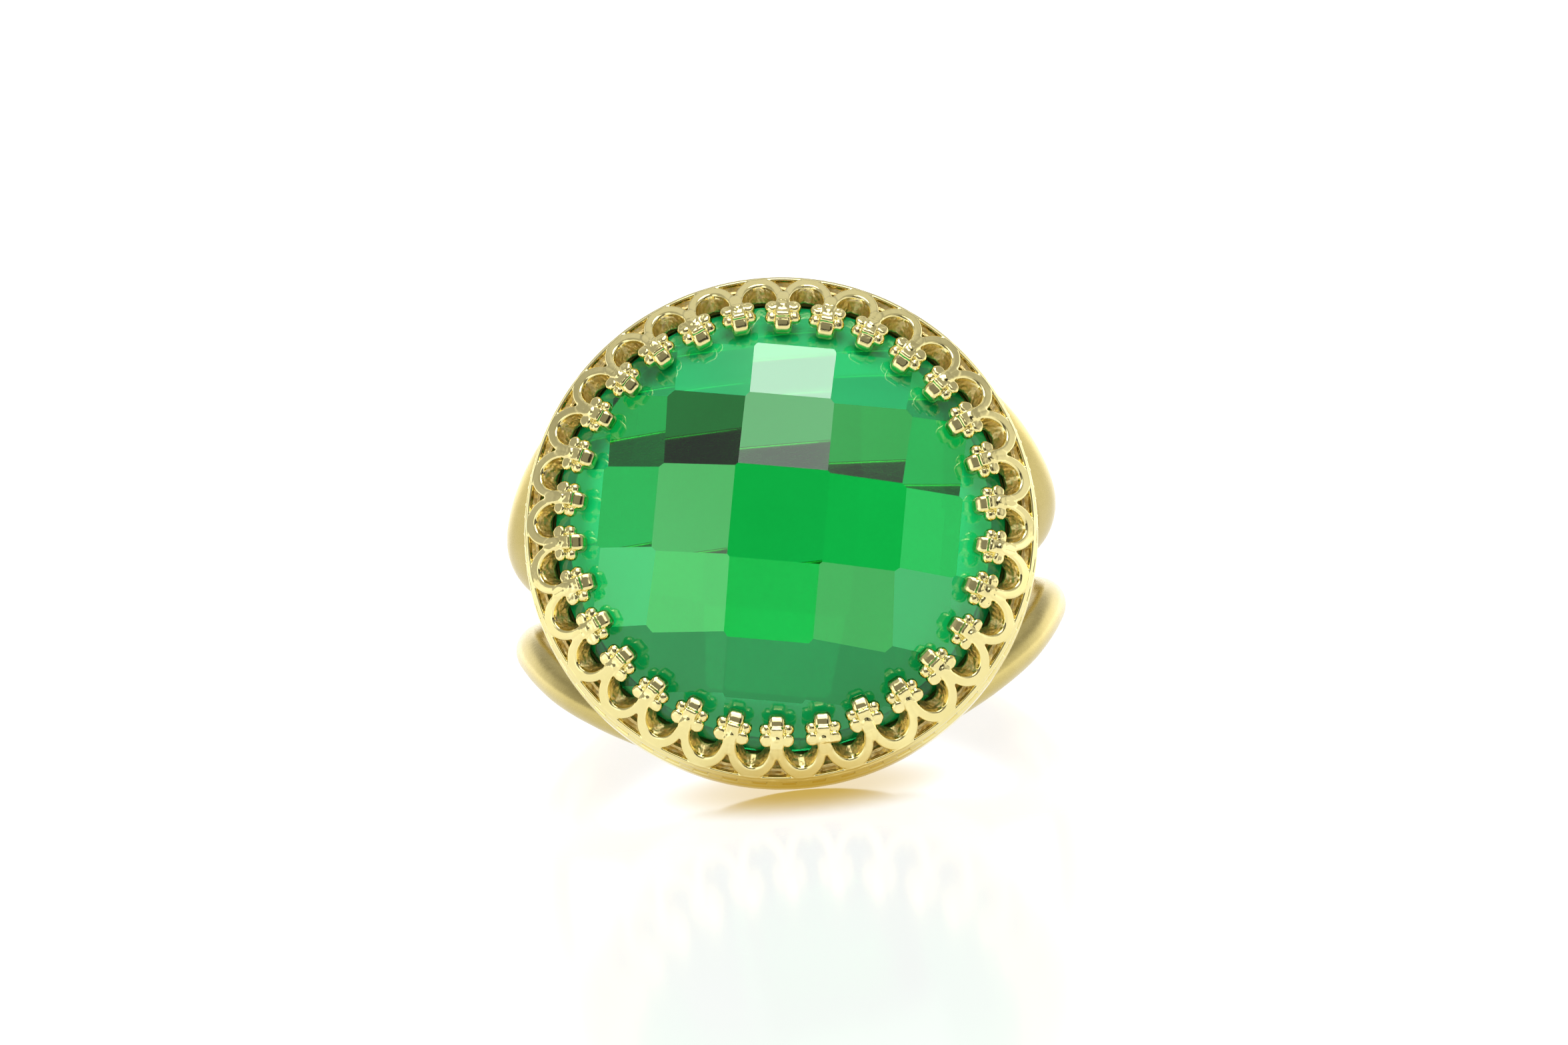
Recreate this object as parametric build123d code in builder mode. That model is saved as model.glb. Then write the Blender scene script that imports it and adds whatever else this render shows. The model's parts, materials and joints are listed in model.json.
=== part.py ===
from build123d import *
from build123d.topology import SkipClean
import os
from math import cos, sin, radians, degrees, atan2, hypot, pi, sqrt

# ---------------------------------------------------------------------------
# Cocktail ring: split shank of two half-round bands, lace gallery head,
# round checkerboard-cut stone.
# Frame: origin at the centre of the finger hole, Y along the finger hole,
# +Z from the finger hole to the stone, X across the hand. Millimetres.
# ---------------------------------------------------------------------------

# finger hole and shank
FINGER_R = 9.10          # inside radius of both bands
BAND_T = 1.15            # thickness of a band at the crown of its dome
BAND_W = 1.64            # width of a band, square to its own run
BAND_SIDE = 0.40         # straight side of a band below the dome
END_ANGLE = 76.0         # where a band ends, up from the X axis
# half spread of the bands: angle up from the X axis -> distance of the band's
# centre line from the plane Y = 0
SPREAD = [(-90, 0.82), (-75, 0.82), (-60, 0.82), (-45, 0.82), (-32, 0.87),
          (-22, 1.12), (-12, 1.42), (0, 1.90), (10, 2.42), (20, 3.20),
          (30, 4.10), (40, 4.96), (50, 5.79), (60, 6.58), (70, 7.26), (80, 7.62)]

# head, heights above the finger axis
HEAD_Z = 9.30            # underside of the head
RIM_R = 9.20             # outside radius of the head at its underside
SILL_Z = 11.15           # top of the plain band, foot of the arches
SILL_R = 9.04            # outside radius at the sill
STEM_R = 8.12            # outside radius where neighbouring arches meet
STEM_Z = 12.16
WALL_R = 8.35            # inside radius of the plain band
UPPER_WALL_R = 8.17      # the same above the seat
STRIP_T = 0.60           # thickness of the leaning arch strip
N_ARCH = 30              # arches, and as many finials
ARCH_FOOT = 0.38         # from the sill up to the opening of an arch
ARCH_HALF = 0.59         # half width of that opening

# base ring and bearing band
BASE_T = 0.55
BASE_HOLE_R = 7.00
SEAT_R = 7.30            # inside radius of the bearing band
LIP_R = 8.12             # inside radius of the collar round the girdle
LIP_Z = 10.80

# stone
STONE_R = 8.00
GIRDLE_LOW = 10.60
DOME_APEX = 14.47        # the facet corners lie on z = DOME_APEX - r^2 / (2 DOME_RHO)
DOME_RHO = 9.56
CUT_LINE = {0.5: 1.68, 1.5: 4.40, 2.5: 6.40, 3.5: 8.20}   # facet lines, out from the centre
CUT_BOW = {0.5: 0.0, 1.5: 0.19, 2.5: 0.26, 3.5: 0.32}     # how far the lines pull in at each crossing line
CUT_TURN = -10.3         # turn of the checkerboard about +Z
CULET_Z = 9.90
CULET_R = 7.20
N_PAVILION = 24

# finials: five beads on a short stem, lying on the edge of the stone
FINIAL_TOP = 12.46
FINIAL_T = 0.42
FINIAL_TIP_R = 6.95

os.makedirs("parts", exist_ok=True)


def polar(r, a, z=0.0):
    return Vector(r * cos(radians(a)), r * sin(radians(a)), z)


# ---------------------------------------------------------------------------
# Stone: a cylinder cut by the checkerboard's planes over a 24-sided pavilion
# that ends in a flat. Each plane goes through four corners on a shallow dome.
# ---------------------------------------------------------------------------
def cut_corner(i, j):
    """Corner of the checkerboard on line i across and line j along, on the dome."""
    x = (CUT_LINE[abs(i)] - CUT_BOW[abs(j)]) * (1 if i > 0 else -1)
    y = (CUT_LINE[abs(j)] - CUT_BOW[abs(i)]) * (1 if j > 0 else -1)
    t = radians(CUT_TURN)
    return Vector(x * cos(t) - y * sin(t), x * sin(t) + y * cos(t),
                  DOME_APEX - (x * x + y * y) / (2 * DOME_RHO))


crown_planes = []
for i in range(-3, 4):
    for j in range(-3, 4):
        if abs(i) + abs(j) > 5:
            continue
        p, q = cut_corner(i - 0.5, j - 0.5), cut_corner(i + 0.5, j - 0.5)
        r, s = cut_corner(i + 0.5, j + 0.5), cut_corner(i - 0.5, j + 0.5)
        normal = (r - p).cross(s - q).normalized()
        crown_planes.append(Plane(origin=(p + q + r + s) / 4, z_dir=normal))

pavilion_planes = []
for k in range(N_PAVILION):
    a = 360.0 * (k + 0.5) / N_PAVILION
    run, drop = STONE_R - CULET_R, GIRDLE_LOW - CULET_Z
    normal = Vector(drop * cos(radians(a)), drop * sin(radians(a)), -run).normalized()
    pavilion_planes.append(Plane(origin=polar(STONE_R * cos(pi / N_PAVILION), a, GIRDLE_LOW), z_dir=normal))

with BuildPart() as stone:
    with BuildSketch(Plane.XY.offset(CULET_Z)):
        Circle(STONE_R)
    extrude(amount=DOME_APEX - CULET_Z + 1)
    for plane in crown_planes:
        split(bisect_by=plane, keep=Keep.BOTTOM)
    for plane in pavilion_planes:
        split(bisect_by=plane, keep=Keep.BOTTOM)
stone.part.label = "stone"
export_step(stone.part, "parts/stone.step")

# ---------------------------------------------------------------------------
# Base ring: flat ring under the head, open at the back of the stone
# ---------------------------------------------------------------------------
with BuildPart() as base_ring:
    with BuildSketch(Plane.XY.offset(HEAD_Z)):
        Circle(WALL_R)
        Circle(BASE_HOLE_R, mode=Mode.SUBTRACT)
    extrude(amount=BASE_T)
    chamfer(base_ring.edges().filter_by(GeomType.CIRCLE).sort_by(SortBy.RADIUS)[0], 0.12)
base_ring.part.label = "base_ring"
export_step(base_ring.part, "parts/base_ring.step")

# ---------------------------------------------------------------------------
# Bearing band: seat under the girdle and a thin collar round it
# ---------------------------------------------------------------------------
seat_drop = (GIRDLE_LOW - CULET_Z) / (STONE_R - CULET_R)
with BuildPart() as bearing_band:
    with BuildSketch(Plane.XZ):
        with BuildLine():
            Polyline(
                (SEAT_R, HEAD_Z + BASE_T),
                (WALL_R, HEAD_Z + BASE_T),
                (WALL_R, LIP_Z),
                (LIP_R, LIP_Z),
                (LIP_R, GIRDLE_LOW),
                (STONE_R, GIRDLE_LOW),
                (SEAT_R, GIRDLE_LOW - (STONE_R - SEAT_R) * seat_drop),
                close=True,
            )
        make_face()
    revolve(axis=Axis.Z)
bearing_band.part.label = "bearing_band"
export_step(bearing_band.part, "parts/bearing_band.step")

# ---------------------------------------------------------------------------
# Crown gallery: plain lip, arches leaning in to the stone, finials
# ---------------------------------------------------------------------------
lean = atan2(STEM_Z - SILL_Z, SILL_R - STEM_R)        # slope of the arch strip
run = hypot(STEM_Z - SILL_Z, SILL_R - STEM_R)
in_r, in_z = -sin(lean) * STRIP_T, -cos(lean) * STRIP_T   # inwards through the strip
pitch = 360.0 / N_ARCH


def strip_plane(angle):
    """Plane lying on the outside of the strip at this angle: origin at the sill, x along the rim, y up the slope."""
    outward = Vector(sin(lean) * cos(radians(angle)), sin(lean) * sin(radians(angle)), cos(lean))
    along = Vector(-sin(radians(angle)), cos(radians(angle)), 0)
    return Plane(origin=polar(SILL_R, angle, SILL_Z), x_dir=along, z_dir=outward)


with BuildPart() as crown_gallery:
    with BuildSketch(Plane.XZ):
        with BuildLine():
            Polyline(
                (WALL_R, HEAD_Z),
                (RIM_R, HEAD_Z),
                (RIM_R, HEAD_Z + 0.55),
                (SILL_R + 0.02, SILL_Z - 0.12),
                (SILL_R, SILL_Z),
                (STEM_R, STEM_Z),
                (STEM_R + in_r, STEM_Z + in_z),
                (UPPER_WALL_R + 0.04, SILL_Z + 0.03),
                (UPPER_WALL_R, SILL_Z - 0.05),
                (UPPER_WALL_R, LIP_Z),
                (WALL_R, LIP_Z),
                close=True,
            )
        make_face()
    revolve(axis=Axis.Z)
    # open side of each arch
    for k in range(N_ARCH):
        a = 90 + k * pitch
        with BuildSketch(strip_plane(a).offset(-STRIP_T - 0.04)):
            with Locations((0, ARCH_FOOT + 0.80)):
                Ellipse(ARCH_HALF, 0.80)
            with Locations((0, ARCH_FOOT + 0.80 + 0.6)):
                Rectangle(2 * ARCH_HALF, 1.2)
    extrude(amount=1.6, mode=Mode.SUBTRACT)
    # three-cornered opening under each stem, over the sill
    for k in range(N_ARCH):
        a = 90 + (k + 0.5) * pitch
        with BuildSketch(strip_plane(a).offset(-STRIP_T - 0.04)):
            with BuildLine():
                Polyline((-0.50, 0.06), (0.50, 0.06), (0.12, 0.62), (0.0, 0.82), (-0.12, 0.62), close=True)
            make_face()
    extrude(amount=2.0, mode=Mode.SUBTRACT)
    # finials
    for k in range(N_ARCH):
        a = 90 + (k + 0.5) * pitch
        top = Plane(origin=polar(FINIAL_TIP_R, a, FINIAL_TOP - FINIAL_T), x_dir=Vector(-sin(radians(a)), cos(radians(a)), 0), z_dir=Vector(0, 0, 1))
        # in this plane y runs towards the finger axis, x along the rim
        with BuildSketch(top):
            with Locations((0, -0.31)):
                Circle(0.31)
            with Locations((-0.34, -0.56), (0.34, -0.56)):
                Circle(0.28)
            with Locations((-0.27, -0.96), (0.27, -0.96)):
                Circle(0.25)
            with Locations((0, -1.05)):
                Rectangle(0.34, 0.80)
    extrude(amount=FINIAL_T)
crown_gallery.part.label = "crown_gallery"
export_step(crown_gallery.part, "parts/crown_gallery.step")


# ---------------------------------------------------------------------------
# Shank: two half-round bands, side by side at the back of the finger and
# parting towards the head
# ---------------------------------------------------------------------------
def spread_at(angle):
    """Distance of a band's centre line from Y = 0, by a smooth curve through SPREAD."""
    n = len(SPREAD)
    for k in range(n - 1):
        a0, y0 = SPREAD[k]
        a1, y1 = SPREAD[k + 1]
        if a0 <= angle <= a1:
            def slope(m):
                if m <= 0:
                    return 0.0
                if m >= n - 1:
                    return (SPREAD[m][1] - SPREAD[m - 1][1]) / (SPREAD[m][0] - SPREAD[m - 1][0])
                return (SPREAD[m + 1][1] - SPREAD[m - 1][1]) / (SPREAD[m + 1][0] - SPREAD[m - 1][0])
            h = a1 - a0
            s = (angle - a0) / h
            m0, m1 = slope(k) * h, slope(k + 1) * h
            return ((2 * s**3 - 3 * s**2 + 1) * y0 + (s**3 - 2 * s**2 + s) * m0
                    + (-2 * s**3 + 3 * s**2) * y1 + (s**3 - s**2) * m1)
    return SPREAD[-1][1]


def band_plane(turn):
    """Plane square to the front band at this turn from the back of the finger: x across the band, y outwards."""
    side = 1 if turn >= 0 else -1
    angle = abs(turn) - 90
    y = -spread_at(angle)
    step = 0.5
    y_next = -spread_at(min(angle + step, 80))
    y_last = -spread_at(max(angle - step, -90))
    slope = side * (y_next - y_last) / (radians(2 * step) * (FINGER_R + BAND_T / 2))
    if abs(turn) < 1:
        slope = 0.0
    out = Vector(sin(radians(turn)), 0, -cos(radians(turn)))
    on = Vector(cos(radians(turn)), slope, sin(radians(turn))).normalized()
    across = out.cross(on)
    r0 = FINGER_R
    return Plane(origin=Vector(r0 * out.X, y, r0 * out.Z), x_dir=across, z_dir=on)


last = 90 + END_ANGLE
turns = [last * k / 14 for k in range(-14, 15)]
with BuildPart() as shank_band_front:
    for turn in turns:
        with BuildSketch(band_plane(turn)):
            with BuildLine():
                half = BAND_W / 2
                Line((-half, BAND_SIDE), (-half, -0.35))
                Line((-half, -0.35), (half, -0.35))
                Line((half, -0.35), (half, BAND_SIDE))
                ThreePointArc((half, BAND_SIDE), (0, BAND_T), (-half, BAND_SIDE))
            make_face()
    loft()
    # the two bands meet on the plane Y = 0, and the head sits on the ends
    split(bisect_by=Plane.XZ, keep=Keep.TOP)
    split(bisect_by=Plane.XY.offset(HEAD_Z), keep=Keep.BOTTOM)
    # finger hole, cut one sector at a time
    sectors = 26
    with SkipClean():
        for k in range(sectors):
            a0 = -90 + 360.0 * k / sectors
            a1 = a0 + 360.0 / sectors
            with BuildSketch(Plane.XZ.offset(-0.5)):
                with BuildLine():
                    Line((0, 0), (FINGER_R * cos(radians(a0)), FINGER_R * sin(radians(a0))))
                    CenterArc((0, 0), FINGER_R, a0, a1 - a0)
                    Line((FINGER_R * cos(radians(a1)), FINGER_R * sin(radians(a1))), (0, 0))
                make_face()
            extrude(amount=11, mode=Mode.SUBTRACT, clean=False)
shank_band_front.part.label = "shank_band_front"
export_step(shank_band_front.part, "parts/shank_band_front.step")

with BuildPart() as shank_band_rear:
    mirror(shank_band_front.part, about=Plane.XZ, mode=Mode.ADD)
shank_band_rear.part.label = "shank_band_rear"
export_step(shank_band_rear.part, "parts/shank_band_rear.step")
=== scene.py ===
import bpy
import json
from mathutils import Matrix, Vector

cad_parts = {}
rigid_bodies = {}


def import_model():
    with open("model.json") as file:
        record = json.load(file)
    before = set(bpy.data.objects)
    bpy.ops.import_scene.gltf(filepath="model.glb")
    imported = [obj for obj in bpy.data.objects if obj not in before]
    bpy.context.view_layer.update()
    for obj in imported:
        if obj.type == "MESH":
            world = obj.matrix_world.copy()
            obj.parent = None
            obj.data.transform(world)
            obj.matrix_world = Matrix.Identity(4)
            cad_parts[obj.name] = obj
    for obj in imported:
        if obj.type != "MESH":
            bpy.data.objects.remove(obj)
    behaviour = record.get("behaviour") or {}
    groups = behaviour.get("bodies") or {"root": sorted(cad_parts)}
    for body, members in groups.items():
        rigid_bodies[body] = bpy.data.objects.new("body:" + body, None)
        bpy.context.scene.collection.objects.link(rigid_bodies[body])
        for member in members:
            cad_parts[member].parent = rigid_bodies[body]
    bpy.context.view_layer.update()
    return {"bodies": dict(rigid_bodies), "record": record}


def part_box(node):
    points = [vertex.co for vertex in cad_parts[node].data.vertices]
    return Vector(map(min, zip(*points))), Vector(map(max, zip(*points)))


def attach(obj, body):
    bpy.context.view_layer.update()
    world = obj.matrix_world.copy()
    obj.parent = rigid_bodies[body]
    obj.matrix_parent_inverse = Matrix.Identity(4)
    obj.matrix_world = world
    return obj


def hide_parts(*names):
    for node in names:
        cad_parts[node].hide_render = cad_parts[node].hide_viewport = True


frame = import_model()

import bpy, bmesh, json, math
import numpy as np
from mathutils import Vector, Matrix

MM = 0.001
PI = math.pi
BODY = list(frame["bodies"])[0]

# ---------------------------------------------------------------- dimensions, from the frame, in mm
head_low, head_high = [np.array(c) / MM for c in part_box("crown_gallery")]
stone_low, stone_high = [np.array(c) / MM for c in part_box("stone")]
base_low, base_high = [np.array(c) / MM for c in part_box("base_ring")]
seat_low, seat_high = [np.array(c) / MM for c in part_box("bearing_band")]
shank_low, shank_high = [np.array(c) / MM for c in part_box("shank_band_front")]
HEAD_Z = float(head_low[2])                 # underside of the head
RIM_R = float(head_high[0])                 # outside radius of the head
STONE_R = float(stone_high[0])
BAND_OUT = float(shank_high[0])             # outside radius of the shank
FINGER_R = frame["record"]["mounts"][0]["dims"]["r_mm"]
BAND_T = BAND_OUT - FINGER_R
FLOOR_Z = float(shank_low[2])

N_ARCH = 30
N_DASH = 54
PITCH = 2 * PI / N_ARCH
WALL_R = float(base_high[0])                # inside of the plain band
SILL_R, SILL_Z = RIM_R - 0.16, HEAD_Z + 1.85
LEAN_V = np.array([-0.92, 1.01]); LEAN_V = LEAN_V / np.linalg.norm(LEAN_V)     # up the arch strip, in (r, z)
LEAN_N = np.array([LEAN_V[1], -LEAN_V[0]])                                     # out of it
DOME_APEX, DOME_RHO = 14.47, 9.56
CUT_LINE = {0.5: 1.68, 1.5: 4.40, 2.5: 6.40, 3.5: 8.20}
CUT_BOW = {0.5: 0.0, 1.5: 0.19, 2.5: 0.26, 3.5: 0.32}
CUT_TURN = math.radians(-10.3)
CULET_Z, CULET_R = float(stone_low[2]), 7.20
GIRDLE_LOW = 10.60


# ---------------------------------------------------------------- helpers
def make_mesh(name, verts, faces, smooth=True, scale=MM):
    """A mesh object from numpy vertices in mm and a list or array of faces."""
    me = bpy.data.meshes.new(name)
    verts = np.asarray(verts, float) * scale
    if isinstance(faces, np.ndarray):
        n, k = faces.shape
        me.vertices.add(len(verts))
        me.vertices.foreach_set("co", verts.ravel())
        me.loops.add(n * k)
        me.loops.foreach_set("vertex_index", faces.astype(np.int32).ravel())
        me.polygons.add(n)
        me.polygons.foreach_set("loop_start", np.arange(0, n * k, k, dtype=np.int32))
        me.update(calc_edges=True)
        me.validate()
    else:
        me.from_pydata([tuple(v) for v in verts], [], [tuple(f) for f in faces])
        me.update()
    if smooth:
        me.polygons.foreach_set("use_smooth", np.ones(len(me.polygons), bool))
    ob = bpy.data.objects.new(name, me)
    bpy.context.scene.collection.objects.link(ob)
    return ob


def add_attr(ob, name, values):
    a = ob.data.attributes.new(name, "FLOAT", "POINT")
    a.data.foreach_set("value", np.asarray(values, np.float32))


_table = np.random.RandomState(7).rand(32, 32, 32).astype(np.float32)


def noise3(p, freq):
    """Smooth value noise in -1..1 at points p (N, 3)."""
    q = p * freq + 101.37
    i = np.floor(q).astype(int)
    f = q - i
    f = f * f * (3 - 2 * f)
    i0, i1 = i % 32, (i + 1) % 32
    def t(a, b, c):
        return _table[a, b, c]
    x0, y0, z0 = i0.T
    x1, y1, z1 = i1.T
    fx, fy, fz = f.T
    c00 = t(x0, y0, z0) * (1 - fx) + t(x1, y0, z0) * fx
    c10 = t(x0, y1, z0) * (1 - fx) + t(x1, y1, z0) * fx
    c01 = t(x0, y0, z1) * (1 - fx) + t(x1, y0, z1) * fx
    c11 = t(x0, y1, z1) * (1 - fx) + t(x1, y1, z1) * fx
    return ((c00 * (1 - fy) + c10 * fy) * (1 - fz) + (c01 * (1 - fy) + c11 * fy) * fz) * 2 - 1


def step(a, b, x):
    t = np.clip((x - a) / (b - a), 0, 1)
    return t * t * (3 - 2 * t)


def smin(a, b, k):
    h = np.clip(0.5 + 0.5 * (b - a) / k, 0, 1)
    return b * (1 - h) + a * h - k * h * (1 - h)


def smax(a, b, k):
    return -smin(-a, -b, k)


def both(a, b, rho):
    """Rounded intersection of two distances."""
    ea, eb = np.maximum(a + rho, 0), np.maximum(b + rho, 0)
    return np.minimum(np.maximum(a, b) + rho, 0) + np.hypot(ea, eb) - rho


def rbox(q, half, rho):
    """Rounded box distance; q and half are lists of coordinates."""
    e = [np.abs(a) - (h - rho) for a, h in zip(q, half)]
    out = np.sqrt(sum(np.maximum(a, 0) ** 2 for a in e))
    ins = np.minimum(np.maximum.reduce(e), 0)
    return out + ins - rho


def ellipsoid(q, half):
    k0 = np.sqrt(sum((a / h) ** 2 for a, h in zip(q, half)))
    k1 = np.sqrt(sum((a / (h * h)) ** 2 for a, h in zip(q, half)))
    return k0 * (k0 - 1) / np.maximum(k1, 1e-9)


def polygon2(x, y, pts):
    """Signed distance to a closed polygon in a plane, negative inside."""
    pts = np.asarray(pts, float)
    d = np.full(x.shape, 1e9)
    s = np.ones(x.shape)
    n = len(pts)
    for i in range(n):
        ax, ay = pts[i]
        bx, by = pts[i - 1]
        ex, ey = bx - ax, by - ay
        wx, wy = x - ax, y - ay
        t = np.clip((wx * ex + wy * ey) / (ex * ex + ey * ey), 0, 1)
        d = np.minimum(d, (wx - ex * t) ** 2 + (wy - ey * t) ** 2)
        c1, c2, c3 = y >= ay, y < by, ex * wy > ey * wx
        flip = (c1 & c2 & c3) | (~c1 & ~c2 & ~c3)
        s = np.where(flip, -s, s)
    return s * np.sqrt(d)


# ---------------------------------------------------------------- crown gallery
BAND = [(WALL_R + 0.005, HEAD_Z), (RIM_R - 0.04, HEAD_Z), (RIM_R, HEAD_Z + 0.05), (RIM_R, HEAD_Z + 0.56),
        (RIM_R - 0.035, HEAD_Z + 0.64), (RIM_R - 0.10, HEAD_Z + 0.67), (RIM_R - 0.125, HEAD_Z + 1.44),
        (RIM_R - 0.075, HEAD_Z + 1.50), (RIM_R - 0.075, HEAD_Z + 1.66), (SILL_R + 0.02, SILL_Z - 0.10),
        (SILL_R, SILL_Z), (SILL_R - 0.08, SILL_Z - 0.015), (SILL_R - 0.14, SILL_Z - 0.10), (8.72, SILL_Z - 0.14),
        (8.68, SILL_Z - 0.07), (8.62, SILL_Z - 0.10), (8.55, SILL_Z - 0.30), (8.30, SILL_Z - 0.33), (8.30, GIRDLE_LOW + 0.205),
        (WALL_R + 0.005, GIRDLE_LOW + 0.205)]


def gallery(r, th, z):
    """Signed distance, in mm, to one sector of the gallery. th is the angle from the middle of a finial's stem."""
    ath = np.abs(th)
    la = r * (PITCH / 2 - ath)
    ls = r * ath
    v = (r - SILL_R) * LEAN_V[0] + (z - SILL_Z) * LEAN_V[1]
    n = (r - SILL_R) * LEAN_N[0] + (z - SILL_Z) * LEAN_N[1]
    band = polygon2(r, z, BAND)
    # arch strip, thicker round the bowls
    deep = np.clip(-n / 0.64, 0, 1.2)
    foot = 0.40 + 0.175 * deep ** 1.3
    ah = 0.585 - 0.11 * deep
    outer = ellipsoid([la, v - 1.07], [0.895, 1.16])
    hole = ellipsoid([la, v - (foot + 0.80)], [ah, 0.80])
    above = np.maximum(la - (ah + np.maximum(v - 1.2, 0) * 0.5), 1.2 - v)
    hole = np.minimum(hole, above)
    sheet = np.abs(n + 0.34) - 0.34
    arch = both(both(outer, v - 1.50, 0.06), sheet, 0.095)
    wall = np.maximum(polygon2(r, z, [(8.27, GIRDLE_LOW + 0.205), (8.62, GIRDLE_LOW + 0.205), (8.86, SILL_Z - 0.05), (8.45, SILL_Z + 0.35), (8.27, SILL_Z + 0.05)]), la - 0.62)
    body = smin(smin(band, wall, 0.03), arch, 0.05)
    body = smax(body, -np.maximum(hole, -n - 0.70), 0.10)
    # finial: stem and two petals still leaning with the strip, then two knobs and a bead laid over the stone
    lean = 0.62 * (r - 7.87) + 0.785 * (z - 12.27)             # height over the petals' plane
    along = 0.785 * (7.87 - r) + 0.62 * (z - 12.27)            # up the petals' plane
    core = rbox([ls, along - 0.10, lean + 0.13], [0.26, 0.40, 0.16], 0.10)
    stem = both(np.hypot(ls, 0.5 * (v - 1.30)) - 0.235, np.abs(n + 0.20) - 0.20, 0.06)
    petal = both(np.hypot(ls - 0.385, along + 0.03) - 0.250, np.abs(lean + 0.16) - 0.18, 0.12)
    side = ellipsoid([ls - 0.405, r - 7.44, z - 12.12], [0.240, 0.235, 0.25])
    pr, pz = (r - 7.27) / 0.415, (z - 12.03) / 0.44
    pill = ((np.abs(pr) ** 2.3 + np.abs(pz) ** 2.3) ** (1 / 2.3) - 1) * 0.42
    bead = both(pill, np.abs(ls) - 0.325 + 0.02 * pr * pr, 0.19)
    dot = ellipsoid([ls, along - 0.14, lean - 0.0], [0.07, 0.07, 0.07])
    finial = smin(core, stem, 0.10)
    finial = smin(finial, petal, 0.03)
    finial = smin(finial, side, 0.03)
    finial = smin(finial, bead, 0.025)
    finial = smin(finial, dot, 0.02)
    # the finials rest on the stone
    finial = np.maximum(finial, (DOME_APEX - r * r / (2 * DOME_RHO)) + 0.012 - z)
    return smin(body, finial, 0.06)


def sector_mesh():
    """Vertices (r, th, z) and quads of one sector, as cells of a grid that repeats round the ring.
    Returns vertices, quads as (sector shift, cell index) pairs."""
    NT = 50
    d = 0.0365
    rs = np.arange(6.70, RIM_R + 0.09, d)
    zl = np.arange(HEAD_Z - 0.07, HEAD_Z + 1.42, d * 1.45)
    zs = np.concatenate([zl, np.arange(zl[-1] + d, 12.60, d)])
    ts = (np.arange(NT) / NT - 0.5) * PITCH
    T, R, Z = np.meshgrid(ts, rs, zs, indexing="ij")
    V = gallery(R, T, Z)
    nt, nr, nz = V.shape
    Vp = np.concatenate([V, V[:1]], 0)                        # closes round in th
    S = Vp < 0
    c = [(a, b, e) for a in (0, 1) for b in (0, 1) for e in (0, 1)]
    corners = [S[a:nt + a, b:nr - 1 + b, e:nz - 1 + e] for a, b, e in c]
    total = sum(x.astype(np.int8) for x in corners)
    active = (total > 0) & (total < 8)
    idx = -np.ones(active.shape, int)
    idx[active] = np.arange(active.sum())
    I, J, K = np.nonzero(active)
    acc = np.zeros((len(I), 3)); cnt = np.zeros(len(I))
    for axis in range(3):
        for a in (0, 1):
            for b in (0, 1):
                o0 = [0, 0, 0]; o1 = [0, 0, 0]
                others = [x for x in range(3) if x != axis]
                o0[others[0]] = o1[others[0]] = a
                o0[others[1]] = o1[others[1]] = b
                o1[axis] = 1
                v0 = Vp[I + o0[0], J + o0[1], K + o0[2]]
                v1 = Vp[I + o1[0], J + o1[1], K + o1[2]]
                hit = (v0 < 0) != (v1 < 0)
                t = np.where(hit, v0 / np.where(hit, v0 - v1, 1), 0)
                p = np.stack([np.full(len(I), float(o0[k])) for k in range(3)], 1)
                p[:, axis] = t
                acc[hit] += p[hit]
                cnt[hit] += 1
    frac = acc / cnt[:, None]
    th = (I + frac[:, 0]) / NT * PITCH - PITCH / 2
    r = rs[J] + frac[:, 1] * (rs[J + 1] - rs[J])
    z = zs[K] + frac[:, 2] * (zs[K + 1] - zs[K])
    # pull every vertex on to the surface
    for _ in range(3):
        e = 2e-3
        f0 = gallery(r, th, z)
        gr = (gallery(r + e, th, z) - gallery(r - e, th, z)) / (2 * e)
        gt = (gallery(r, th + e / 8, z) - gallery(r, th - e / 8, z)) / (2 * e / 8) / r
        gz = (gallery(r, th, z + e) - gallery(r, th, z - e)) / (2 * e)
        g2 = np.maximum(gr * gr + gt * gt + gz * gz, 0.25)
        s = np.clip(f0 / g2, -0.4 * d, 0.4 * d) * 0.9
        r = r - s * gr
        th = th - s * gt / r
        z = z - s * gz
    quads = []
    ncell = int(active.sum())

    def cell(i, j, k):
        shift = np.where(i < 0, -1, 0)
        return shift * ncell + idx[i % nt, j, k]
    # edges along th
    e = S[:-1] != S[1:]
    i, j, k = np.nonzero(e[:, 1:-1, 1:-1]); j += 1; k += 1
    q = np.stack([cell(i, j - 1, k - 1), cell(i, j, k - 1), cell(i, j, k), cell(i, j - 1, k)], 1)
    flip = S[i, j, k]
    q[~flip] = q[~flip][:, ::-1]
    quads.append(q)
    S0 = S[:-1]
    e = S0[:, :-1] != S0[:, 1:]
    i, j, k = np.nonzero(e[:, :, 1:-1]); k += 1
    q = np.stack([cell(i - 1, j, k - 1), cell(i - 1, j, k), cell(i, j, k), cell(i, j, k - 1)], 1)
    flip = S0[i, j, k]
    q[~flip] = q[~flip][:, ::-1]
    quads.append(q)
    e = S0[:, :, :-1] != S0[:, :, 1:]
    i, j, k = np.nonzero(e[:, 1:-1, :]); j += 1
    q = np.stack([cell(i - 1, j - 1, k), cell(i, j - 1, k), cell(i, j, k), cell(i - 1, j, k)], 1)
    flip = S0[i, j, k]
    q[~flip] = q[~flip][:, ::-1]
    quads.append(q)
    return r, th, z, np.concatenate(quads), ncell


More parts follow.
